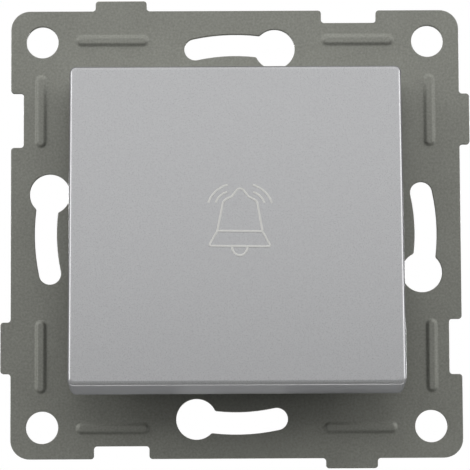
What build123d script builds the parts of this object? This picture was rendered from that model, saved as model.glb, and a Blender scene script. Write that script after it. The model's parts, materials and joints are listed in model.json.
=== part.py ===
from build123d import *

import os
from math import cos, radians, sin

# Sizes in millimetres. The wall is the XZ plane, the front faces -Y and Z is up.

# Support plate: stamped steel sheet, its rear face on the wall
plate_side = 71.0
plate_thickness = 1.0
plate_corner_radius = 3.0
tab_width = 8.1
tab_reach = 1.6
tab_offset = 18.05
notch_width = 8.7
notch_depth = 2.0
joint_corner_radius = 0.5
corner_hole_diameter = 5.08
corner_hole_pitch = 61.08
screw_circle_diameter = 60.0
screw_slot_width = 3.5
slot_end_angle = 12.1
key_head_diameter = 6.4
key_head_angle = 12.1
bead_length = 11.5
bead_width = 1.75
bead_height = 0.4
bead_slope = 45.0
bead_line = 30.75
bead_offset = 19.45
bead_groove_width = 1.2

# Housing outline: a square cut by a circle, so that it enters a round wall box
base_width = 43.0
base_height = 43.0
base_round_diameter = 53.0
base_wall = 2.2
base_rear_wall = 2.4
terminal_rise = 9.0
base_edge_radius = 0.8
window_ledge = 0.7
contact_depth = 9.8
gauge_length = 11.0
gauge_width = 2.6
gauge_depth = 0.6
gauge_rise = 9.0

# Front cover, clamped on the plate by legs that snap into the housing
flange_inset = 1.0
flange_thickness = 1.6
flange_edge_chamfer = 0.4
window_play = 0.1
rim_wall = 1.4
leg_thickness = 1.4
leg_width = 5.0
leg_pitch = 18.0
leg_catch_depth = 5.2
leg_nose_length = 2.2
leg_nose_reach = 2.0
leg_play = 0.1
lug_thickness = 2.8
lug_radius = 2.9
lug_span = 32.8
guide_wall = 1.4
guide_rise = 0.6
guide_reach = 3.0
guide_play = 0.1

# Rocker: cradle and cap, turned about the trunnions
pivot_height = 6.0
pivot_drop = 0.48
rest_tilt = 7.0
press_angle = 9.0
trunnion_diameter = 3.0
trunnion_play = 0.05
cheek_play = 0.25
cheek_thickness = 2.0
cheek_radius = 2.6
trunnion_end_inset = 0.2
cradle_length = 31.0
cradle_thickness = 2.0
cradle_corner_radius = 1.5
stop_arm = 14.0
stop_thickness = 2.0
stop_width = 6.0
lower_stop_spacing = 16.0
lower_stop_width = 2.4
stop_play = 0.1
finger_reach = 5.0
finger_radius = 1.5
finger_side_play = 0.6
cap_width = 51.6
cap_height = 50.3
cap_face = 6.5
cap_face_thickness = 1.8
cap_wall = 1.6
cap_corner_radius = 1.0
cap_inner_radius = 0.8
cap_edge_radius = 0.65
cap_rim_clearance = 0.95
cap_rib_height = 0.5
cap_rib_width = 1.4
cap_rib_spacing = 12.0
hook_spacing = 22.0
hook_pitch = 18.0
hook_width = 3.6
hook_thickness = 1.4
hook_nose = 0.7
hook_nose_length = 1.2
hook_play = 0.2
hook_catch_play = 0.08

# Plunger and moving contact
plunger_width = 5.0
plunger_height = 7.0
plunger_play = 0.1
plunger_foot = 5.0
plunger_edge_radius = 0.4
well_play = 0.2
well_end_gap = 0.3
spigot_length = 2.0
spigot_play = 0.25
bridge_width = 4.0
bridge_thickness = 0.8
bridge_end_margin = 2.3
bridge_play = 0.15
contact_spacing = 13.0
tip_diameter = 3.0
tip_height = 0.9
tip_chamfer = 0.3
pressed_contact_gap = 0.08

# Springs
return_spring_diameter = 5.6
return_wire = 0.55
return_turns = 5
bridge_spring_diameter = 3.2
bridge_spring_length = 3.2
bridge_wire = 0.45
bridge_spring_turns = 3
spring_end_gap = 0.05
spring_bore_play = 0.4
wire_sides = 6

# Fixed contacts and screw terminals
strip_thickness = 0.8
strip_width = 5.0
strip_bend_radius = 0.4
strip_play = 0.12
wire_space = 3.2
cage_gap = 2.0
cage_length = 6.0
cage_wall = 1.0
cage_nut_wall = 1.8
cage_corner_radius = 0.6
cage_play = 0.2
cage_travel = 2.8
tail_end_margin = 0.3
pocket_end_gap = 1.0
screw_diameter = 3.5
screw_play = 0.05
screw_web = 1.2
screw_head_diameter = 6.0
screw_head_height = 1.8
screw_head_chamfer = 0.3
screw_head_play = 0.2
screw_cross_width = 0.9
screw_cross_length = 4.0
screw_cross_depth = 0.9
wire_entry_diameter = 3.4
wire_entry_funnel = 1.0

# Hollows that lighten the upper half of the housing
core_width = 13.0
core_height = 17.0
core_rise = 6.0
core_rib = 1.6
core_corner_radius = 1.5

# Levels in front of the wall
wall = Plane.XZ
plate_front = wall.offset(plate_thickness)
flange_level = plate_thickness + flange_thickness
pivot_level = plate_thickness + pivot_height
pressed_tilt = rest_tilt - press_angle


def rocker_level(arm, reach, tilt):
    # Level of a rocker point, arm above the pivot and reach in front of it
    return pivot_level + reach * cos(radians(tilt)) - arm * sin(radians(tilt))


def rocker_reach(arm, level, tilt):
    # Reach that puts a rocker point at this level
    return (level - pivot_level + arm * sin(radians(tilt))) / cos(radians(tilt))


# Rocker frames: its face plane through the pivot, and the same turned edge on
rocker = Plane(
    origin=(0, -pivot_level, -pivot_drop),
    x_dir=(1, 0, 0),
    z_dir=(0, -cos(radians(rest_tilt)), sin(radians(rest_tilt))),
)
rocker_side = Plane(origin=rocker.origin, x_dir=rocker.y_dir, z_dir=(1, 0, 0))
cap_under = cap_face - cap_face_thickness
cradle_top = cap_under - cap_rib_height
cradle_under = cradle_top - cradle_thickness
cap_rim = rocker_reach(cap_height / 2, plate_thickness + cap_rim_clearance, rest_tilt)

# Finger, plunger and contact levels, from the finger's round end at rest and pressed
plunger_drop = base_height / 2 - terminal_rise
finger_arm = plunger_drop - pivot_drop
finger_centre = finger_radius - finger_reach
finger_rest = rocker_level(-finger_arm, finger_centre, rest_tilt) - finger_radius
finger_pressed = rocker_level(-finger_arm, finger_centre, pressed_tilt) - finger_radius
plunger_travel = finger_rest - finger_pressed
plunger_top = finger_rest - plunger_play
fixed_tip_level = tip_height - contact_depth
bridge_tip_level = fixed_tip_level + pressed_contact_gap + plunger_travel
bridge_rear = bridge_tip_level + tip_height
bridge_front = bridge_rear + bridge_thickness
plunger_window_front = bridge_front + bridge_spring_length
plunger_bottom = bridge_rear - plunger_foot

# Terminal stack, from the housing's side inwards and from the contact level back
screw_seat = base_width / 2 - screw_head_height - screw_play
pocket_outer = screw_seat - screw_web
nut_outer = pocket_outer - cage_play - cage_travel
nut_inner = nut_outer - cage_nut_wall
tail_outer = nut_inner - cage_play
tail_inner = tail_outer - strip_thickness
wire_centre = tail_inner - wire_space / 2
cage_far_inner = tail_inner - wire_space
cage_far_outer = cage_far_inner - cage_wall
pocket_inner = cage_far_outer - cage_play
cage_half_height = strip_width / 2 + cage_play + cage_wall
cage_front_depth = contact_depth + strip_thickness + cage_gap
cage_rear_depth = cage_front_depth + cage_length
terminal_depth = (cage_front_depth + cage_rear_depth) / 2
pocket_depth = cage_rear_depth + pocket_end_gap
base_depth = pocket_depth + base_rear_wall
strip_inner = contact_spacing / 2 - tip_diameter / 2 - strip_thickness
window_inset = base_wall + window_ledge
plug_face = base_width / 2 - window_inset - window_play
sides = {"left": -1, "right": 1}


def body_outline(inset):
    # The housing's outline, drawn this far inside it
    Rectangle(base_width - 2 * inset, base_height - 2 * inset)
    Circle(base_round_diameter / 2 - inset, mode=Mode.INTERSECT)


def beside_each_edge(length, width):
    # Two slots along each side of the plate, where its beads are
    with PolarLocations(bead_line, 4):
        with GridLocations(0, 2 * bead_offset, 1, 2):
            SlotOverall(length, width, rotation=90)


# Support plate
with BuildPart() as support_plate:
    with BuildSketch(wall) as blank:
        RectangleRounded(plate_side, plate_side, plate_corner_radius)
        with PolarLocations(plate_side / 2, 4):
            with Locations((0, tab_offset)):
                Rectangle(2 * tab_reach, tab_width)
            with Locations((0, -tab_offset)):
                Rectangle(2 * notch_depth, notch_width, mode=Mode.SUBTRACT)
        straight = plate_side / 2 - plate_corner_radius - joint_corner_radius
        fillet(
            blank.vertices().filter_by(lambda v: min(abs(v.X), abs(v.Y)) < straight),
            joint_corner_radius,
        )
        with GridLocations(corner_hole_pitch, corner_hole_pitch, 2, 2):
            Circle(corner_hole_diameter / 2, mode=Mode.SUBTRACT)
    extrude(amount=plate_thickness)
    # Keyholes on the box screws' circle: a curved slot with a round head
    slot_line = CenterArc(
        (0, 0),
        screw_circle_diameter / 2,
        -key_head_angle,
        key_head_angle + slot_end_angle,
        mode=Mode.PRIVATE,
    )
    with BuildSketch(wall):
        with PolarLocations(0, 4):
            SlotArc(slot_line, screw_slot_width)
        with PolarLocations(screw_circle_diameter / 2, 4, start_angle=-key_head_angle):
            Circle(key_head_diameter / 2)
    extrude(amount=plate_thickness, mode=Mode.SUBTRACT)
    # Window that the front cover's rim fills
    with BuildSketch(wall):
        body_outline(window_inset)
    extrude(amount=plate_thickness, mode=Mode.SUBTRACT)
    # Stiffening beads with sloped sides, each with its groove behind
    with BuildSketch(plate_front):
        beside_each_edge(bead_length, bead_width)
    extrude(amount=bead_height, taper=bead_slope)
    with BuildSketch(wall):
        beside_each_edge(bead_length - bead_width + bead_groove_width, bead_groove_width)
    extrude(amount=bead_height, mode=Mode.SUBTRACT)

# Base housing
with BuildPart() as base_housing:
    with BuildSketch(wall):
        body_outline(0)
    extrude(amount=-base_depth)
    fillet(base_housing.faces().sort_by(Axis.Y)[-1].edges(), base_edge_radius)
    with BuildSketch(wall):
        body_outline(base_wall)
    extrude(amount=-contact_depth, mode=Mode.SUBTRACT)
    # Hollows either side of a rib
    with BuildSketch(wall.offset(-contact_depth)):
        with Locations((0, core_rise)):
            with GridLocations(core_width + core_rib, 0, 2, 1):
                RectangleRounded(core_width, core_height, core_corner_radius)
    extrude(amount=contact_depth - pocket_depth, mode=Mode.SUBTRACT)
    # Well that guides the plunger's foot, and the return spring's bore below it
    with BuildSketch(wall.offset(-contact_depth)):
        with Locations((0, -plunger_drop)):
            Rectangle(plunger_width + 2 * well_play, plunger_height + 2 * well_play)
    well_depth = plunger_travel + well_end_gap - plunger_bottom
    extrude(amount=contact_depth - well_depth, mode=Mode.SUBTRACT)
    with BuildSketch(wall.offset(-contact_depth)):
        with Locations((0, -plunger_drop)):
            Circle(return_spring_diameter / 2 + spring_bore_play)
    extrude(amount=contact_depth - pocket_depth, mode=Mode.SUBTRACT)
    for side in sides.values():
        # Seat of the contact strip
        with BuildSketch(wall.offset(-contact_depth)):
            with Locations((side * (strip_inner + pocket_outer) / 2, -plunger_drop)):
                Rectangle(
                    pocket_outer - strip_inner + 2 * strip_play,
                    strip_width + 2 * strip_play,
                )
        extrude(amount=-strip_thickness, mode=Mode.SUBTRACT)
        # Pocket that the cage slides in
        with BuildSketch(wall.offset(-contact_depth)):
            with Locations((side * (pocket_inner + pocket_outer) / 2, -plunger_drop)):
                Rectangle(pocket_outer - pocket_inner, 2 * (cage_half_height + cage_play))
        extrude(amount=contact_depth - pocket_depth, mode=Mode.SUBTRACT)
        # Wire entry
        with BuildSketch(wall.offset(-base_depth)):
            with Locations((side * wire_centre, -plunger_drop)):
                Circle(wire_entry_diameter / 2)
        extrude(amount=base_rear_wall, mode=Mode.SUBTRACT)
        # Screwdriver hole: shank through the web, head in the counterbore
        with BuildSketch(Plane.YZ.offset(side * pocket_outer)):
            with Locations((terminal_depth, -plunger_drop)):
                Circle(screw_diameter / 2 + screw_head_play)
        extrude(amount=side * screw_web, mode=Mode.SUBTRACT)
        with BuildSketch(Plane.YZ.offset(side * screw_seat)):
            with Locations((terminal_depth, -plunger_drop)):
                Circle(screw_head_diameter / 2 + screw_head_play)
        extrude(amount=side * (base_width / 2 - screw_seat), mode=Mode.SUBTRACT)
        # Windows that catch the cover's legs
        window_length = leg_nose_length + 2 * leg_play
        with BuildSketch(Plane.YZ.offset(side * (base_width / 2 - base_wall))):
            with Locations((leg_catch_depth - leg_play + window_length / 2, 0)):
                with GridLocations(0, leg_pitch, 1, 2):
                    Rectangle(window_length, leg_width + 2 * leg_play)
        extrude(amount=side * base_wall, mode=Mode.SUBTRACT)
    # Funnel mouths of the wire entries
    rear_face = base_housing.faces().sort_by(Axis.Y)[-1]
    chamfer(rear_face.inner_wires().edges(), wire_entry_funnel)
    # Groove as long as the bare end that a wire needs
    with BuildSketch(wall.offset(-base_depth)):
        with Locations((0, gauge_rise)):
            SlotOverall(gauge_length, gauge_width)
    extrude(amount=gauge_depth, mode=Mode.SUBTRACT)

# Front cover
with BuildPart() as front_cover:
    with BuildSketch(plate_front):
        body_outline(flange_inset)
    extrude(amount=flange_thickness)
    chamfer(front_cover.faces().sort_by(Axis.Y)[0].edges(), flange_edge_chamfer)
    # Rim that fills the plate's window
    with BuildSketch(plate_front):
        body_outline(window_inset + window_play)
        offset(amount=-rim_wall, mode=Mode.SUBTRACT)
    extrude(amount=-plate_thickness)
    # Bearing lugs
    for side in sides.values():
        with BuildSketch(Plane.YZ.offset(side * lug_span / 2)):
            with Locations((-pivot_level, -pivot_drop)):
                Circle(lug_radius)
                Rectangle(pivot_height, 2 * lug_radius, align=(Align.MIN, Align.CENTER))
        extrude(amount=side * lug_thickness)
        with BuildSketch(Plane.YZ.offset(side * lug_span / 2)):
            with Locations((-pivot_level, -pivot_drop)):
                Circle(trunnion_diameter / 2 + trunnion_play)
        extrude(amount=side * lug_thickness, mode=Mode.SUBTRACT)
        # Snap legs, each with a wedge nose
        leg_end = leg_catch_depth + leg_nose_length
        for height in (-leg_pitch / 2, leg_pitch / 2):
            with BuildSketch(Plane.XY.offset(height - leg_width / 2)):
                with BuildLine():
                    Polyline(
                        (side * (plug_face - leg_thickness), -plate_thickness),
                        (side * plug_face, -plate_thickness),
                        (side * plug_face, leg_catch_depth),
                        (side * (plug_face + leg_nose_reach), leg_catch_depth),
                        (side * plug_face, leg_end),
                        (side * (plug_face - leg_thickness), leg_end),
                        close=True,
                    )
                make_face()
            extrude(amount=leg_width)
    # Plunger guide, open right through
    guide_front = wall.offset(flange_level + guide_rise)
    guide_length = flange_level + guide_rise + guide_reach
    with BuildSketch(guide_front):
        with Locations((0, -plunger_drop)):
            guide_margin = 2 * (guide_play + guide_wall)
            Rectangle(plunger_width + guide_margin, plunger_height + guide_margin)
    extrude(amount=-guide_length)
    with BuildSketch(guide_front):
        with Locations((0, -plunger_drop)):
            Rectangle(plunger_width + 2 * guide_play, plunger_height + 2 * guide_play)
    extrude(amount=-guide_length, mode=Mode.SUBTRACT)

# Rocker cradle
cheek_outer = lug_span / 2 - cheek_play
trunnion_length = cheek_play + lug_thickness - trunnion_end_inset
finger_width = plunger_width - 2 * finger_side_play
hook_inner = hook_pitch / 2 - hook_thickness / 2
hook_outer = hook_pitch / 2 + hook_thickness / 2
upper_stop = rocker_reach(stop_arm, flange_level + stop_play, rest_tilt)
lower_stop = rocker_reach(-stop_arm, flange_level + stop_play, pressed_tilt)
with BuildPart() as rocker_cradle:
    with BuildSketch(rocker.offset(cradle_under)):
        RectangleRounded(2 * cheek_outer, cradle_length, cradle_corner_radius)
        # Windows that the cap's hooks go through
        window_inner = hook_inner - hook_nose - hook_play
        window_outer = hook_outer + hook_play
        for end in (-1, 1):
            with Locations((0, end * (window_inner + window_outer) / 2)):
                with GridLocations(hook_spacing, 0, 2, 1):
                    Rectangle(
                        hook_width + 2 * hook_play,
                        window_outer - window_inner,
                        mode=Mode.SUBTRACT,
                    )
    extrude(amount=cradle_thickness)
    # Cheeks and trunnions
    for side in sides.values():
        with BuildSketch(rocker_side.offset(side * cheek_outer)):
            Circle(cheek_radius)
            Rectangle(2 * cheek_radius, cradle_top, align=(Align.CENTER, Align.MIN))
        extrude(amount=-side * cheek_thickness)
        with BuildSketch(rocker_side.offset(side * cheek_outer)):
            Circle(trunnion_diameter / 2)
        extrude(amount=side * trunnion_length)
    # Finger with a round end
    with BuildSketch(rocker_side):
        with Locations((-finger_arm, finger_centre)):
            Circle(finger_radius)
            Rectangle(
                2 * finger_radius,
                cradle_top - finger_centre,
                align=(Align.CENTER, Align.MIN),
            )
    extrude(amount=finger_width / 2, both=True)
    # Stops: one above the pivot for the rest position, two below it for the pressed one
    with BuildSketch(rocker_side):
        with Locations((stop_arm, upper_stop)):
            Rectangle(stop_thickness, cradle_top - upper_stop, align=(Align.MAX, Align.MIN))
    extrude(amount=stop_width / 2, both=True)
    for side in sides.values():
        inner_face = side * (lower_stop_spacing - lower_stop_width) / 2
        with BuildSketch(rocker_side.offset(inner_face)):
            with Locations((-stop_arm, lower_stop)):
                Rectangle(stop_thickness, cradle_top - lower_stop, align=(Align.MIN, Align.MIN))
        extrude(amount=side * lower_stop_width)

# Button cap
with BuildPart() as button_cap:
    with BuildSketch(rocker.offset(cap_rim)):
        RectangleRounded(cap_width, cap_height, cap_corner_radius)
    extrude(amount=cap_face - cap_rim)
    cap_front = button_cap.faces().sort_by(Axis(rocker.origin, rocker.z_dir))[-1]
    fillet(cap_front.edges(), cap_edge_radius)
    with BuildSketch(rocker.offset(cap_rim)):
        RectangleRounded(cap_width - 2 * cap_wall, cap_height - 2 * cap_wall, cap_inner_radius)
    extrude(amount=cap_under - cap_rim, mode=Mode.SUBTRACT)
    # Ribs that rest on the cradle
    with BuildSketch(rocker.offset(cradle_top)):
        with GridLocations(cap_rib_spacing, 0, 2, 1):
            Rectangle(cap_rib_width, cradle_length)
    extrude(amount=cap_rib_height)
    # Hooks that catch behind the cradle
    catch = cradle_under - hook_catch_play
    for side in sides.values():
        for end in (-1, 1):
            with BuildSketch(rocker_side.offset(side * hook_spacing / 2 - hook_width / 2)):
                with BuildLine():
                    Polyline(
                        (end * hook_inner, cap_under),
                        (end * hook_outer, cap_under),
                        (end * hook_outer, catch),
                        (end * (hook_outer + hook_nose), catch),
                        (end * hook_outer, catch - hook_nose_length),
                        (end * hook_inner, catch - hook_nose_length),
                        close=True,
                    )
                make_face()
            extrude(amount=hook_width)

# Plunger
with BuildPart() as plunger:
    with BuildSketch(wall.offset(plunger_bottom)):
        with Locations((0, -plunger_drop)):
            Rectangle(plunger_width, plunger_height)
    extrude(amount=plunger_top - plunger_bottom)
    fillet(plunger.faces().sort_by(Axis.Y)[0].edges(), plunger_edge_radius)
    # Window for the contact bridge and its spring
    with BuildSketch(Plane.YZ):
        with Locations((-bridge_rear, -plunger_drop)):
            Rectangle(
                plunger_window_front - bridge_rear,
                bridge_width + 2 * bridge_play,
                align=(Align.MAX, Align.CENTER),
            )
    extrude(amount=plunger_width, both=True, mode=Mode.SUBTRACT)
    # Spigot inside the return spring
    with BuildSketch(wall.offset(plunger_bottom)):
        with Locations((0, -plunger_drop)):
            Circle(return_spring_diameter / 2 - return_wire - spigot_play)
    extrude(amount=-spigot_length)

# Contact bridge
with BuildPart() as contact_bridge:
    with BuildSketch(wall.offset(bridge_rear)):
        with Locations((0, -plunger_drop)):
            SlotOverall(contact_spacing + 2 * bridge_end_margin, bridge_width)
    extrude(amount=bridge_thickness)


def coil_spring(diameter, wire, turns, rear, length):
    # A coil along the plunger's axis, between a rear level and the level a length in front of it
    run = length - 2 * spring_end_gap - wire
    middle = (diameter - wire) / 2
    start = -(rear + spring_end_gap + wire / 2)
    with BuildPart() as coil:
        with BuildLine() as path:
            Helix(run / turns, run, middle, center=(0, start, -plunger_drop), direction=(0, -1, 0))
        with BuildSketch(Plane(origin=path.line @ 0, z_dir=path.line % 0)):
            RegularPolygon(wire / 2, wire_sides)
        sweep(path=path.line, is_frenet=True)
    return coil


return_spring = coil_spring(
    return_spring_diameter,
    return_wire,
    return_turns,
    -pocket_depth,
    pocket_depth + plunger_bottom,
)
bridge_spring = coil_spring(
    bridge_spring_diameter,
    bridge_wire,
    bridge_spring_turns,
    bridge_front,
    bridge_spring_length,
)

pieces = {
    "support_plate": support_plate,
    "base_housing": base_housing,
    "front_cover": front_cover,
    "rocker_cradle": rocker_cradle,
    "button_cap": button_cap,
    "plunger": plunger,
    "contact_bridge": contact_bridge,
    "return_spring": return_spring,
    "bridge_spring": bridge_spring,
}

# Contacts and terminals, one of each on either side
tail_end = cage_rear_depth + tail_end_margin
for name, side in sides.items():
    # Pads welded to the bridge and to the strip
    with BuildPart() as bridge_tip:
        with BuildSketch(wall.offset(bridge_rear)):
            with Locations((side * contact_spacing / 2, -plunger_drop)):
                Circle(tip_diameter / 2)
        extrude(amount=-tip_height)
        chamfer(bridge_tip.faces().sort_by(Axis.Y)[-1].edges(), tip_chamfer)
    pieces[f"bridge_tip_{name}"] = bridge_tip
    with BuildPart() as fixed_tip:
        with BuildSketch(wall.offset(-contact_depth)):
            with Locations((side * contact_spacing / 2, -plunger_drop)):
                Circle(tip_diameter / 2)
        extrude(amount=tip_height)
        chamfer(fixed_tip.faces().sort_by(Axis.Y)[0].edges(), tip_chamfer)
    pieces[f"fixed_tip_{name}"] = fixed_tip

    # Strip bent back into the terminal
    with BuildPart() as fixed_contact:
        with BuildSketch(Plane.XY.offset(-plunger_drop - strip_width / 2)) as profile:
            with BuildLine():
                Polyline(
                    (side * strip_inner, contact_depth),
                    (side * tail_outer, contact_depth),
                    (side * tail_outer, tail_end),
                    (side * tail_inner, tail_end),
                    (side * tail_inner, contact_depth + strip_thickness),
                    (side * strip_inner, contact_depth + strip_thickness),
                    close=True,
                )
            make_face()
            outer_corner = (side * tail_outer, contact_depth)
            fillet(
                profile.vertices().sort_by_distance(outer_corner)[0],
                strip_bend_radius + strip_thickness,
            )
            inner_corner = (side * tail_inner, contact_depth + strip_thickness)
            fillet(profile.vertices().sort_by_distance(inner_corner)[0], strip_bend_radius)
        extrude(amount=strip_width)
    pieces[f"fixed_contact_{name}"] = fixed_contact

    # Lift cage, open along the wire
    with BuildPart() as clamp_cage:
        with BuildSketch(wall.offset(-cage_rear_depth)):
            with Locations((side * (nut_outer + cage_far_outer) / 2, -plunger_drop)):
                RectangleRounded(nut_outer - cage_far_outer, 2 * cage_half_height, cage_corner_radius)
            with Locations((side * (nut_inner + cage_far_inner) / 2, -plunger_drop)):
                Rectangle(
                    nut_inner - cage_far_inner,
                    2 * (cage_half_height - cage_wall),
                    mode=Mode.SUBTRACT,
                )
        extrude(amount=cage_length)
        with BuildSketch(Plane.YZ.offset(side * nut_inner)):
            with Locations((terminal_depth, -plunger_drop)):
                Circle(screw_diameter / 2 + screw_play)
        extrude(amount=side * cage_nut_wall, mode=Mode.SUBTRACT)
    pieces[f"clamp_cage_{name}"] = clamp_cage

    # Terminal screw: its end bears on the strip, its head is flush with the housing
    with BuildPart() as terminal_screw:
        with BuildSketch(Plane.YZ.offset(side * (tail_outer + screw_play))):
            with Locations((terminal_depth, -plunger_drop)):
                Circle(screw_diameter / 2)
        extrude(amount=side * (screw_seat - tail_outer))
        with BuildSketch(Plane.YZ.offset(side * (screw_seat + screw_play))):
            with Locations((terminal_depth, -plunger_drop)):
                Circle(screw_head_diameter / 2)
        extrude(amount=side * screw_head_height)
        chamfer(terminal_screw.edges().sort_by(Axis.X)[-1 if side > 0 else 0], screw_head_chamfer)
        with BuildSketch(Plane.YZ.offset(side * base_width / 2)):
            with Locations((terminal_depth, -plunger_drop)):
                Rectangle(screw_cross_length, screw_cross_width)
                Rectangle(screw_cross_width, screw_cross_length)
        extrude(amount=-side * screw_cross_depth, mode=Mode.SUBTRACT)
    pieces[f"terminal_screw_{name}"] = terminal_screw

os.makedirs("parts", exist_ok=True)
for name, piece in pieces.items():
    piece.part.label = name
    export_step(piece.part, f"parts/{name}.step")
print(f"plunger travel {plunger_travel:.4f}, housing depth {base_depth:.2f}")
print(f"terminals at {tail_inner:.2f}, wire {wire_centre:.2f}, screw depth {terminal_depth:.2f}")
print(f"cap rim {cap_rim:.3f}, plunger top {plunger_top:.3f}, bridge rear {bridge_rear:.3f}")
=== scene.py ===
import json
import math

import bmesh
import bpy
from mathutils import Matrix, Vector


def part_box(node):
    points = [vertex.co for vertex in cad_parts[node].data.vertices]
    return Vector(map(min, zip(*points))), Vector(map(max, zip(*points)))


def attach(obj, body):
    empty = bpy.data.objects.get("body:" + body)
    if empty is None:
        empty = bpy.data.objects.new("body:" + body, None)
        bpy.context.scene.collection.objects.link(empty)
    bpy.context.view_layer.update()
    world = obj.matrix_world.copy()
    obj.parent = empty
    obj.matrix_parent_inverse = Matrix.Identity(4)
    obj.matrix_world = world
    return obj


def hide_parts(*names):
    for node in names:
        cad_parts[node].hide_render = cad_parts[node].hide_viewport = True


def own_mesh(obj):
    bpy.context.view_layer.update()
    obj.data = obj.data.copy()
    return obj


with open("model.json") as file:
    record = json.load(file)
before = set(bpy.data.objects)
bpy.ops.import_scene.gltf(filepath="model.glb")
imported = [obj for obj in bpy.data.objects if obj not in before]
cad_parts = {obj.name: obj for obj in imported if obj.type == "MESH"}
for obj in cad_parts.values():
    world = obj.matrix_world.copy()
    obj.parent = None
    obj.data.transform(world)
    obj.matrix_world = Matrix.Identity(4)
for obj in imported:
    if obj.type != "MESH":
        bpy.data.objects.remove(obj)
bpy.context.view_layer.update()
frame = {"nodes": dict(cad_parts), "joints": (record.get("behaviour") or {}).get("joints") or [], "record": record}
scene = bpy.context.scene
scene.view_settings.view_transform = "Standard"
mm = 0.001


# Colours and nodes
def linear(hexColour):
    channels = [int(hexColour[i:i + 2], 16) / 255 for i in (1, 3, 5)]
    return [c / 12.92 if c <= 0.04045 else ((c + 0.055) / 1.055) ** 2.4 for c in channels] + [1.0]


def addNode(tree, kind, settings=None, links=None):
    node = tree.nodes.new(kind)
    for key, value in (settings or {}).items():
        if isinstance(key, int) or key in node.inputs:
            node.inputs[key].default_value = value
        else:
            setattr(node, key, value)
    for key, source in (links or {}).items():
        tree.links.new(source, node.inputs[key])
    return node


def newMaterial(name):
    material = bpy.data.materials.new(name)
    material.use_nodes = True
    tree = material.node_tree
    shader = tree.nodes["Principled BSDF"]
    place = addNode(tree, "ShaderNodeTexCoord").outputs["Object"]
    return material, tree, shader, place


def perMetre(millimetres):
    return 1 / (millimetres * mm)


# Silver lacquer on ABS: fine metal flakes under a satin clear coat, so the face glitters a little
lacquer = {
    "pale": "#b1b2b3", "dark": "#a9a9ab",
    "flakeSize": 0.16,  # in mm, coarser than real flakes so that they show
    "flakeBump": 0.02, "bumpDepth": 0.01 * mm,
    "metallic": 0.55, "roughness": 0.28, "roughnessSpread": 0.012,
    "coat": 0.2, "coatRoughness": 0.2,
    # Sprayed from above in front, so less lacquer lands on walls that face down and they are duller; their darker
    # grey is painted shade
    "litAndSprayedFrom": (0, -1, 0.5), "shadeAndThinFrom": 0.0, "shadeAndThinTo": -0.3, "dimTone": "#7e7f82", "thinRoughness": 0.55,
}


def silverLacquer():
    material, tree, shader, place = newMaterial("silverLacquer")
    flakes = addNode(tree, "ShaderNodeTexVoronoi", {"Scale": perMetre(lacquer["flakeSize"])}, {
        "Vector": place,
    })
    shade = addNode(tree, "ShaderNodeSeparateColor", links={"Color": flakes.outputs["Color"]})
    ramp = addNode(tree, "ShaderNodeValToRGB", links={"Fac": shade.outputs["Red"]})
    ramp.color_ramp.elements[0].color = linear(lacquer["dark"])
    ramp.color_ramp.elements[1].color = linear(lacquer["pale"])
    # Where the film is thin it is duller; walls that face down are also painted darker grey, which is painted
    # shade
    outward = addNode(tree, "ShaderNodeNewGeometry").outputs["Normal"]
    litAndSprayed = addNode(tree, "ShaderNodeVectorMath", {
        "operation": "DOT_PRODUCT", 1: lacquer["litAndSprayedFrom"],
    }, {0: outward})
    shadeAndThinness = addNode(tree, "ShaderNodeMapRange", {
        "From Min": lacquer["shadeAndThinFrom"], "From Max": lacquer["shadeAndThinTo"],
    }, {"Value": litAndSprayed.outputs["Value"]})
    # Walls that face down are mixed towards a darker grey: this is painted shade
    shadedBaseColour = addNode(tree, "ShaderNodeMix", {"data_type": "RGBA", 7: linear(lacquer["dimTone"])}, {
        0: shadeAndThinness.outputs["Result"], 6: ramp.outputs["Color"],
    })
    tree.links.new(shadedBaseColour.outputs[2], shader.inputs["Base Color"])
    gloss = addNode(tree, "ShaderNodeMapRange", {
        "To Min": lacquer["roughness"] - lacquer["roughnessSpread"],
        "To Max": lacquer["roughness"] + lacquer["roughnessSpread"],
    }, {"Value": flakes.outputs["Distance"]})
    dull = addNode(tree, "ShaderNodeMath", {
        "operation": "MULTIPLY_ADD", 1: lacquer["thinRoughness"] - lacquer["roughness"],
    }, {0: shadeAndThinness.outputs["Result"], 2: gloss.outputs["Result"]})
    tree.links.new(dull.outputs["Value"], shader.inputs["Roughness"])
    bump = addNode(tree, "ShaderNodeBump", {
        "Strength": lacquer["flakeBump"], "Distance": lacquer["bumpDepth"],
    }, {"Height": shade.outputs["Blue"]})
    tree.links.new(bump.outputs["Normal"], shader.inputs["Normal"])
    shader.inputs["Metallic"].default_value = lacquer["metallic"]
    shader.inputs["Coat Weight"].default_value = lacquer["coat"]
    shader.inputs["Coat Roughness"].default_value = lacquer["coatRoughness"]
    return material


# Zinc-plated steel sheet, stamped: dull grey with an olive cast, a rolled grain and faint blotches
zincSheet = {
    "pale": "#9e9f97", "dark": "#878880", "rampFrom": 0.4, "rampTo": 0.85,
    "grainSize": 0.35, "grainDetail": 3.0, "grainRoughness": 0.6,
    "blotchSize": 6.0, "blotchDetail": 2.0, "blotchShare": 0.25,
    "metallic": 0.15, "roughness": 0.5, "roughnessSpread": 0.08,
    "grainBump": 0.12, "bumpDepth": 0.02 * mm,
}


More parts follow.
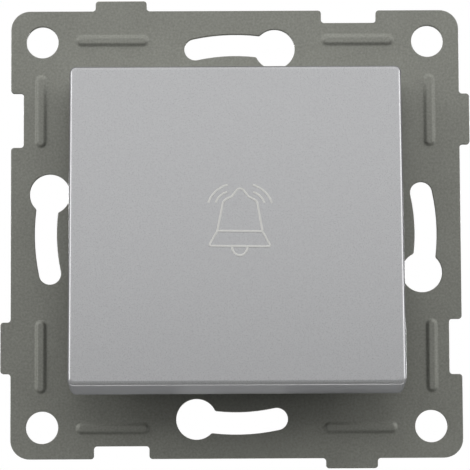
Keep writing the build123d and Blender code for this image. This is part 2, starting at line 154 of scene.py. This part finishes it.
def zincPlatedSheet():
    material, tree, shader, place = newMaterial("zincPlatedSheet")
    grain = addNode(tree, "ShaderNodeTexNoise", {
        "Scale": perMetre(zincSheet["grainSize"]), "Detail": zincSheet["grainDetail"],
        "Roughness": zincSheet["grainRoughness"],
    }, {"Vector": place})
    blotch = addNode(tree, "ShaderNodeTexNoise", {
        "Scale": perMetre(zincSheet["blotchSize"]), "Detail": zincSheet["blotchDetail"],
    }, {"Vector": place})
    mixed = addNode(tree, "ShaderNodeMath", {"operation": "MULTIPLY_ADD", 1: zincSheet["blotchShare"]}, {
        0: blotch.outputs["Fac"], 2: grain.outputs["Fac"],
    })
    ramp = addNode(tree, "ShaderNodeValToRGB", links={"Fac": mixed.outputs["Value"]})
    ramp.color_ramp.elements[0].position = zincSheet["rampFrom"]
    ramp.color_ramp.elements[1].position = zincSheet["rampTo"]
    ramp.color_ramp.elements[0].color = linear(zincSheet["dark"])
    ramp.color_ramp.elements[1].color = linear(zincSheet["pale"])
    tree.links.new(ramp.outputs["Color"], shader.inputs["Base Color"])
    gloss = addNode(tree, "ShaderNodeMapRange", {
        "To Min": zincSheet["roughness"] - zincSheet["roughnessSpread"],
        "To Max": zincSheet["roughness"] + zincSheet["roughnessSpread"],
    }, {"Value": grain.outputs["Fac"]})
    tree.links.new(gloss.outputs["Result"], shader.inputs["Roughness"])
    bump = addNode(tree, "ShaderNodeBump", {
        "Strength": zincSheet["grainBump"], "Distance": zincSheet["bumpDepth"],
    }, {"Height": grain.outputs["Fac"]})
    tree.links.new(bump.outputs["Normal"], shader.inputs["Normal"])
    shader.inputs["Metallic"].default_value = zincSheet["metallic"]
    return material


# Moulded polycarbonate: a spark-eroded mould leaves a fine dull grain with slight shade changes
plastics = {
    "whitePolycarbonate": {"pale": "#f1f0ea", "dark": "#e8e7e0", "roughness": 0.45},
    "greyPolycarbonate": {"pale": "#b4b6b6", "dark": "#a8aaaa", "roughness": 0.48},
}
mould = {
    "grainSize": 0.5, "grainDetail": 2.0, "rampFrom": 0.3, "rampTo": 0.7, "roughnessSpread": 0.06,
    "grainBump": 0.15, "bumpDepth": 0.02 * mm, "ior": 1.5,
}


def mouldedPlastic(name):
    material, tree, shader, place = newMaterial(name)
    plastic = plastics[name]
    grain = addNode(tree, "ShaderNodeTexNoise", {
        "Scale": perMetre(mould["grainSize"]), "Detail": mould["grainDetail"],
    }, {"Vector": place})
    ramp = addNode(tree, "ShaderNodeValToRGB", links={"Fac": grain.outputs["Fac"]})
    ramp.color_ramp.elements[0].position = mould["rampFrom"]
    ramp.color_ramp.elements[1].position = mould["rampTo"]
    ramp.color_ramp.elements[0].color = linear(plastic["dark"])
    ramp.color_ramp.elements[1].color = linear(plastic["pale"])
    tree.links.new(ramp.outputs["Color"], shader.inputs["Base Color"])
    gloss = addNode(tree, "ShaderNodeMapRange", {
        "To Min": plastic["roughness"] - mould["roughnessSpread"],
        "To Max": plastic["roughness"] + mould["roughnessSpread"],
    }, {"Value": grain.outputs["Fac"]})
    tree.links.new(gloss.outputs["Result"], shader.inputs["Roughness"])
    bump = addNode(tree, "ShaderNodeBump", {
        "Strength": mould["grainBump"], "Distance": mould["bumpDepth"],
    }, {"Height": grain.outputs["Fac"]})
    tree.links.new(bump.outputs["Normal"], shader.inputs["Normal"])
    shader.inputs["IOR"].default_value = mould["ior"]
    return material


# Bare or plated metal: a faint grain, drawn out along rolled strip, changes its gloss and shade
metals = {
    "rolledBrass": {"pale": "#d9b36a", "dark": "#c59c52", "roughness": 0.32, "grainSize": 0.3},
    "silverAlloy": {"pale": "#e6e4de", "dark": "#d4d2cb", "roughness": 0.28, "grainSize": 0.4},
    "brightZincSteel": {"pale": "#c9ccce", "dark": "#b2b6ba", "roughness": 0.33, "grainSize": 0.25},
    "drawnSpringWire": {"pale": "#9b9b9c", "dark": "#858587", "roughness": 0.3, "grainSize": 0.2},
}
metalGrain = {
    "detail": 3.0, "rampFrom": 0.3, "rampTo": 0.7, "roughnessSpread": 0.08,
    "evenGrain": (1.0, 1.0, 1.0), "drawnOut": {"rolledBrass": (1.0, 0.15, 1.0)},
}


def drawnMetal(name):
    material, tree, shader, place = newMaterial(name)
    metal = metals[name]
    lines = addNode(tree, "ShaderNodeMapping", {
        "Scale": metalGrain["drawnOut"].get(name, metalGrain["evenGrain"]),
    }, {"Vector": place})
    grain = addNode(tree, "ShaderNodeTexNoise", {
        "Scale": perMetre(metal["grainSize"]), "Detail": metalGrain["detail"],
    }, {"Vector": lines.outputs["Vector"]})
    ramp = addNode(tree, "ShaderNodeValToRGB", links={"Fac": grain.outputs["Fac"]})
    ramp.color_ramp.elements[0].position = metalGrain["rampFrom"]
    ramp.color_ramp.elements[1].position = metalGrain["rampTo"]
    ramp.color_ramp.elements[0].color = linear(metal["dark"])
    ramp.color_ramp.elements[1].color = linear(metal["pale"])
    tree.links.new(ramp.outputs["Color"], shader.inputs["Base Color"])
    gloss = addNode(tree, "ShaderNodeMapRange", {
        "To Min": metal["roughness"] - metalGrain["roughnessSpread"],
        "To Max": metal["roughness"] + metalGrain["roughnessSpread"],
    }, {"Value": grain.outputs["Fac"]})
    tree.links.new(gloss.outputs["Result"], shader.inputs["Roughness"])
    shader.inputs["Metallic"].default_value = 1.0
    return material


finishes = {
    "silver_paint": silverLacquer(),
    "plate_steel": zincPlatedSheet(),
    "white_moulding": mouldedPlastic("whitePolycarbonate"),
    "grey_moulding": mouldedPlastic("greyPolycarbonate"),
    "contact_brass": drawnMetal("rolledBrass"),
    "contact_silver": drawnMetal("silverAlloy"),
    "zinc_steel": drawnMetal("brightZincSteel"),
    "spring_steel": drawnMetal("drawnSpringWire"),
}
slotOf = {sub["node"]: sub["material_slot"] for sub in frame["record"]["subparts"]}
for nodeName, node in frame["nodes"].items():
    node.data.materials.clear()
    node.data.materials.append(finishes[slotOf[nodeName]])
print("finishes:", len(finishes))


# New pieces
def newPiece(name, mesh, slotName, body):
    mesh.materials.clear()
    mesh.materials.append(finishes[slotName])
    piece = bpy.data.objects.new(name, mesh)
    scene.collection.objects.link(piece)
    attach(piece, body)
    return piece


def meshFromCurve(name, curve):
    curveObject = bpy.data.objects.new(name, curve)
    mesh = bpy.data.meshes.new_from_object(curveObject)
    bpy.data.objects.remove(curveObject)
    mesh.name = name
    return mesh


# Stamped sheet: the CAD plate with its beads rounded and its sheared edges rolled over
sheetEdge = {
    "mergeWithin": 0.002 * mm, "flatWithin": 0.5, "smoothWithin": 40.0,
    "roll": 0.09 * mm, "steps": 2, "sharpAngle": 60.0,
    "beadRoll": 0.18 * mm, "beadSteps": 3, "beadAngle": 30.0,
}


def stampedSheet():
    bm = bmesh.new()
    bm.from_mesh(frame["nodes"]["support_plate"].data)
    bmesh.ops.remove_doubles(bm, verts=bm.verts, dist=sheetEdge["mergeWithin"])
    flat = math.radians(sheetEdge["flatWithin"])
    bmesh.ops.dissolve_limit(bm, angle_limit=flat, verts=bm.verts, edges=bm.edges)
    sharp = math.radians(sheetEdge["sharpAngle"])
    bead = math.radians(sheetEdge["beadAngle"])
    slopes = [e for e in bm.edges if e.is_manifold and bead < e.calc_face_angle() < sharp]
    bmesh.ops.bevel(bm, geom=slopes, offset=sheetEdge["beadRoll"], segments=sheetEdge["beadSteps"],
                    profile=0.5, affect="EDGES", material=-1, clamp_overlap=False)
    sheared = [e for e in bm.edges if e.is_manifold and e.calc_face_angle() > sharp]
    bmesh.ops.bevel(bm, geom=sheared, offset=sheetEdge["roll"], segments=sheetEdge["steps"],
                    profile=0.5, affect="EDGES", material=-1, clamp_overlap=False)
    print("bead edges:", len(slopes), "sheared edges:", len(sheared))
    mesh = bpy.data.meshes.new("stampedPlate")
    bm.to_mesh(mesh)
    bm.free()
    mesh.shade_smooth()
    mesh.set_sharp_from_angle(angle=math.radians(sheetEdge["smoothWithin"]))
    return mesh


plate = newPiece("stampedPlate", stampedSheet(), "plate_steel", "insert")
plate.modifiers.new("flatFaces", "WEIGHTED_NORMAL").keep_sharp = True
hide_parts("support_plate")
print("plate:", len(plate.data.polygons), "faces")


# Round wire coil in place of the six-sided one
coil = {
    "diameter": 5.6 * mm, "wire": 0.55 * mm, "turns": 5, "keep": 0.778,
    "stepsPerTurn": 32, "wireRounding": 3, "smoothness": 2,
}
coilLow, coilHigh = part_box("return_spring")


def coilMesh():
    curve = bpy.data.curves.new("returnCoil", "CURVE")
    curve.dimensions = "3D"
    curve.bevel_depth = coil["wire"] / 2
    curve.bevel_resolution = coil["wireRounding"]
    curve.use_fill_caps = True
    spline = curve.splines.new("NURBS")
    count = coil["turns"] * coil["stepsPerTurn"]
    spline.points.add(count)
    middle = (Vector(coilLow) + Vector(coilHigh)) / 2
    start = coilLow[1] + coil["wire"] / 2
    rise = coilHigh[1] - coilLow[1] - coil["wire"]
    radius = (coil["diameter"] - coil["wire"]) / 2
    for i, point in enumerate(spline.points):
        angle = 2 * math.pi * i / coil["stepsPerTurn"]
        point.co = (middle.x + radius * math.cos(angle), start + rise * i / count,
                    middle.z + radius * math.sin(angle), 1)
    spline.use_endpoint_u = True
    spline.order_u = 3
    spline.resolution_u = coil["smoothness"]
    mesh = meshFromCurve("returnCoil", curve)
    mesh.shade_smooth()
    return mesh


returnCoil = newPiece("returnCoil", coilMesh(), "spring_steel", "insert")
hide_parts("return_spring")
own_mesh(returnCoil)
print("return coil:", len(returnCoil.data.polygons), "faces")

# Bell sign printed on the cap: strokes of pale ink, in millimetres from the middle of the face
bell = {
    "across": 0.57, "turn": -0.7, "stroke": 0.34, "thickness": 0.02,
    "strokeRounding": 2, "smoothness": 10,
    # Right half of the bell's body from its top down, each corner with its rounding
    "body": [
        (0.37, 5.42, 0.3), (1.28, 4.17, 0.15), (2.58, 3.56, 0.5), (3.47, -1.28, 0.1), (4.77, -3.65, 0.45),
    ],
    "bandCorner": 3,  # counted from 0, the corner that the band starts from
    "clapper": (1.18, 1.44),  # half its width, and its depth
    # The two sound waves on the right, each with its low end first, and the left ones mirror them
    "waves": [((4.88, 3.15), (1.93, 6.02)), ((3.73, 3.18), (2.0, 4.88))],
    "waveBow": 0.45, "waveSlant": 0.25,
}
circlePull = 0.5523  # handle length for a quarter circle, as a share of its radius

# Pad-printed ink: flat and matt, a shade uneven where the film is thin
ink = {"pale": "#f8f8f4", "dimTone": "#f0f0ec", "patchSize": 0.3, "patchDetail": 2.0, "roughness": 0.6}


def printingInk():
    material, tree, shader, place = newMaterial("printingInk")
    patches = addNode(tree, "ShaderNodeTexNoise", {
        "Scale": perMetre(ink["patchSize"]), "Detail": ink["patchDetail"],
    }, {"Vector": place})
    ramp = addNode(tree, "ShaderNodeValToRGB", links={"Fac": patches.outputs["Fac"]})
    ramp.color_ramp.elements[0].color = linear(ink["dimTone"])
    ramp.color_ramp.elements[1].color = linear(ink["pale"])
    tree.links.new(ramp.outputs["Color"], shader.inputs["Base Color"])
    shader.inputs["Roughness"].default_value = ink["roughness"]
    return material


def addStroke(curve, points, closed=False):
    # Each point is its place, then the handle before it and the handle after it
    spline = curve.splines.new("BEZIER")
    spline.bezier_points.add(len(points) - 1)
    spline.use_cyclic_u = closed
    for target, (place, before, after) in zip(spline.bezier_points, points):
        target.handle_left_type = target.handle_right_type = "FREE"
        target.co = (*place, 0)
        target.handle_left = (*before, 0)
        target.handle_right = (*after, 0)


def roundedCorner(before, corner, after):
    # Two points that lead the stroke round a corner
    place = Vector(corner[:2])
    ends = [place + corner[2] * (Vector(other[:2]) - place).normalized() for other in (before, after)]
    pulls = [end.lerp(place, circlePull) for end in ends]
    return [(ends[0], ends[0], pulls[0]), (ends[1], pulls[1], ends[1])]


def bellStrokes():
    curve = bpy.data.curves.new("bellSign", "CURVE")
    curve.dimensions = "3D"
    curve.bevel_depth = bell["stroke"] / 2
    curve.bevel_resolution = bell["strokeRounding"]
    curve.resolution_u = bell["smoothness"]
    curve.use_fill_caps = True
    right = bell["body"]
    corners = right + [(-x, y, rounding) for x, y, rounding in reversed(right)]
    outline = []
    for i, corner in enumerate(corners):
        outline += roundedCorner(corners[i - 1], corner, corners[(i + 1) % len(corners)])
    addStroke(curve, outline, closed=True)
    bandX, bandY, _ = right[bell["bandCorner"]]
    addStroke(curve, [((side * bandX, bandY),) * 3 for side in (-1, 1)])
    foot = right[-1][1]
    reach, drop = bell["clapper"]
    bottom = foot - drop
    addStroke(curve, [
        ((-reach, foot), (-reach, foot), (-reach, foot - circlePull * drop)),
        ((0, bottom), (-circlePull * reach, bottom), (circlePull * reach, bottom)),
        ((reach, foot), (reach, foot - circlePull * drop), (reach, foot)),
    ])
    bow, slant = bell["waveBow"], bell["waveSlant"]
    for side in (-1, 1):
        for low, high in bell["waves"]:
            across, rise = bow * (low[0] - high[0]), bow * (high[1] - low[1])
            ends = [(side * x, y) for x, y in (low, high)]
            pulls = [(side * (low[0] - slant * across), low[1] + rise),
                     (side * (high[0] + across), high[1] - slant * rise)]
            addStroke(curve, [(ends[0], ends[0], pulls[0]), (ends[1], pulls[1], ends[1])])
    return meshFromCurve("bellSign", curve)


# The cap's face: its frame comes from the hinge and the tilt at rest
face = {"tilt": 7.0, "height": 6.5 * mm}
hinge = next(joint for joint in frame["joints"] if joint["name"] == "button_press")
faceTurn = Matrix.Rotation(math.radians(90 - face["tilt"]), 4, "X")
faceRise = Matrix.Translation((0, 0, face["height"]))
facePlace = Matrix.Translation(Vector(hinge["pos_m"])) @ faceTurn @ faceRise
signTurn = Matrix.Rotation(math.radians(bell["turn"]), 4, "Z")
signPlace = Matrix.Translation((bell["across"] * mm, 0, bell["thickness"] / 2 * mm))
signScale = Matrix.Diagonal((mm, mm, bell["thickness"] / bell["stroke"] * mm, 1))
signMesh = bellStrokes()
signMesh.transform(facePlace @ signPlace @ signTurn @ signScale)
signMesh.materials.append(printingInk())
bellSign = bpy.data.objects.new("bellSign", signMesh)
scene.collection.objects.link(bellSign)
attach(bellSign, "rocker")
print("bell sign:", len(signMesh.polygons), "faces")

# Studio: pale floor, soft lamps and a white surround
studio = {
    "floorLevel": -0.09, "floorSize": 3.0, "fadeFrom": 0.2, "fadeTo": 0.6,
    "floorColour": "#e6e6e4", "floorBounce": "#2e2f31", "floorRoughness": 0.8,
    "white": "#ffffff",
    # Soft light from behind, where the wall would be, and how far round it reaches
    "rearFill": 0.15, "fillFrom": 0.0, "fillTo": 0.5,
    # What glossy surfaces mirror: a paler surround in front than behind
    "surround": 0.52, "rearSurround": 0.12, "surroundFrom": -0.2, "surroundTo": 0.3,
    "lamps": {
        "overhead": {"place": (0, -0.38, 0.48), "size": (2.0, 0.9), "power": 5.7, "spread": 180},
        "leftStrip": {"place": (-0.45, -0.2, 0.12), "size": (0.25, 0.25), "power": 0.61, "spread": 180},
        "rightStrip": {"place": (0.45, -0.2, 0.12), "size": (0.25, 0.25), "power": 0.6, "spread": 180},
        "under": {"place": (0, 0.03, -0.08), "size": (0.16, 0.015), "power": 0.03, "spread": 180},
        # Two gridded boxes light the rear, and their narrow beams stay off the floor
        "rearLeft": {"place": (-0.3, 0.52, 0.06), "size": (0.15, 0.15), "power": 0.03, "spread": 30},
        "rearRight": {"place": (0.3, 0.52, 0.06), "size": (0.15, 0.15), "power": 0.03, "spread": 30},
    },
}


def buildFloor():
    bm = bmesh.new()
    bmesh.ops.create_grid(bm, x_segments=1, y_segments=1, size=studio["floorSize"] / 2)
    bmesh.ops.translate(bm, verts=bm.verts, vec=(0, 0, studio["floorLevel"]))
    mesh = bpy.data.meshes.new("floor")
    bm.to_mesh(mesh)
    bm.free()
    material, tree, shader, place = newMaterial("paintedFloor")
    # Pale where it is seen or mirrored, and dim where it only throws light back up
    rays = addNode(tree, "ShaderNodeLightPath")
    bounced = addNode(tree, "ShaderNodeMix", {
        "data_type": "RGBA", 6: linear(studio["floorColour"]), 7: linear(studio["floorBounce"]),
    }, {0: rays.outputs["Is Diffuse Ray"]})
    tree.links.new(bounced.outputs[2], shader.inputs["Base Color"])
    shader.inputs["Roughness"].default_value = studio["floorRoughness"]
    # It fades out into the white surround, and is clear from below for a low camera
    away = addNode(tree, "ShaderNodeVectorMath", {"operation": "LENGTH"}, {0: place})
    fade = addNode(tree, "ShaderNodeMapRange", {
        "interpolation_type": "SMOOTHSTEP", "From Min": studio["fadeFrom"], "From Max": studio["fadeTo"],
    }, {"Value": away.outputs["Value"]})
    underside = addNode(tree, "ShaderNodeNewGeometry").outputs["Backfacing"]
    gone = addNode(tree, "ShaderNodeMath", {"operation": "MAXIMUM"}, {
        0: fade.outputs["Result"], 1: underside,
    })
    clear = addNode(tree, "ShaderNodeBsdfTransparent")
    shown = addNode(tree, "ShaderNodeMixShader", links={
        "Fac": gone.outputs["Value"], 1: shader.outputs["BSDF"], 2: clear.outputs["BSDF"],
    })
    tree.links.new(shown.outputs["Shader"], tree.nodes["Material Output"].inputs["Surface"])
    mesh.materials.append(material)
    floor = bpy.data.objects.new("floor", mesh)
    scene.collection.objects.link(floor)


def buildWorld():
    world = bpy.data.worlds.new("studio")
    world.use_nodes = True
    scene.world = world
    tree = world.node_tree
    tree.nodes.clear()
    white = linear(studio["white"])
    rays = addNode(tree, "ShaderNodeLightPath")
    direction = addNode(tree, "ShaderNodeTexCoord").outputs["Generated"]
    axes = addNode(tree, "ShaderNodeSeparateXYZ", links={"Vector": direction})
    rearness = addNode(tree, "ShaderNodeMapRange", {
        "From Min": studio["fillFrom"], "From Max": studio["fillTo"],
        "To Min": 0.0, "To Max": studio["rearFill"],
    }, {"Value": axes.outputs["Y"]})
    fill = addNode(tree, "ShaderNodeBackground", {"Color": white}, {"Strength": rearness.outputs["Result"]})
    mirrored = addNode(tree, "ShaderNodeMapRange", {
        "From Min": studio["surroundFrom"], "From Max": studio["surroundTo"],
        "To Min": studio["surround"], "To Max": studio["rearSurround"],
    }, {"Value": axes.outputs["Y"]})
    surround = addNode(tree, "ShaderNodeBackground", {"Color": white}, {
        "Strength": mirrored.outputs["Result"],
    })
    lit = addNode(tree, "ShaderNodeMixShader", links={
        "Fac": rays.outputs["Is Glossy Ray"], 1: fill.outputs["Background"],
        2: surround.outputs["Background"],
    })
    # Plain white where the camera looks past the object
    seen = addNode(tree, "ShaderNodeMath", {"operation": "ADD", "use_clamp": True}, {
        0: rays.outputs["Is Camera Ray"], 1: rays.outputs["Is Transmission Ray"],
    })
    backdrop = addNode(tree, "ShaderNodeBackground", {"Color": white, "Strength": 1.0})
    mixed = addNode(tree, "ShaderNodeMixShader", links={
        "Fac": seen.outputs["Value"], 1: lit.outputs["Shader"], 2: backdrop.outputs["Background"],
    })
    addNode(tree, "ShaderNodeOutputWorld", links={"Surface": mixed.outputs["Shader"]})


def buildLamps():
    for name, settings in studio["lamps"].items():
        lamp = bpy.data.lights.new(name, "AREA")
        lamp.shape = "RECTANGLE"
        lamp.size, lamp.size_y = settings["size"]
        lamp.energy = settings["power"]
        lamp.spread = math.radians(settings["spread"])
        lampObject = bpy.data.objects.new(name, lamp)
        lampObject.location = settings["place"]
        aim = -Vector(settings["place"])
        lampObject.rotation_euler = aim.to_track_quat("-Z", "Y").to_euler()
        lampObject.visible_camera = False
        scene.collection.objects.link(lampObject)


buildFloor()
buildWorld()
buildLamps()
print("studio:", len(studio["lamps"]), "lamps")

# Camera: a little below the plate's axis, looking up at it
view = {
    "distance": 460 * mm, "pitch": -5.613, "yaw": 0.309, "roll": 0.25,
    "acrossOffset": 0.1294 * mm, "upOffset": 0.3147 * mm, "plateFront": -1.0 * mm,
    "frameWidth": 470, "pixelsPerMm": 6.3366, "sensor": 36.0,
}


def buildCamera():
    camera = bpy.data.cameras.new("camera")
    camera.sensor_width = view["sensor"]
    camera.lens = view["pixelsPerMm"] * view["distance"] / mm / view["frameWidth"] * view["sensor"]
    turn = (Matrix.Rotation(math.radians(view["roll"]), 3, "Z")
            @ Matrix.Rotation(math.radians(view["yaw"]), 3, "Y")
            @ Matrix.Rotation(math.radians(view["pitch"]), 3, "X")).transposed()
    upright = Matrix.Rotation(math.radians(90), 3, "X")
    place = upright @ turn @ Vector((-view["acrossOffset"], -view["upOffset"], view["distance"]))
    place.y += view["plateFront"]
    cameraObject = bpy.data.objects.new("camera", camera)
    cameraObject.matrix_world = Matrix.Translation(place) @ (upright @ turn).to_4x4()
    scene.collection.objects.link(cameraObject)
    scene.camera = cameraObject


buildCamera()
print("camera placed")
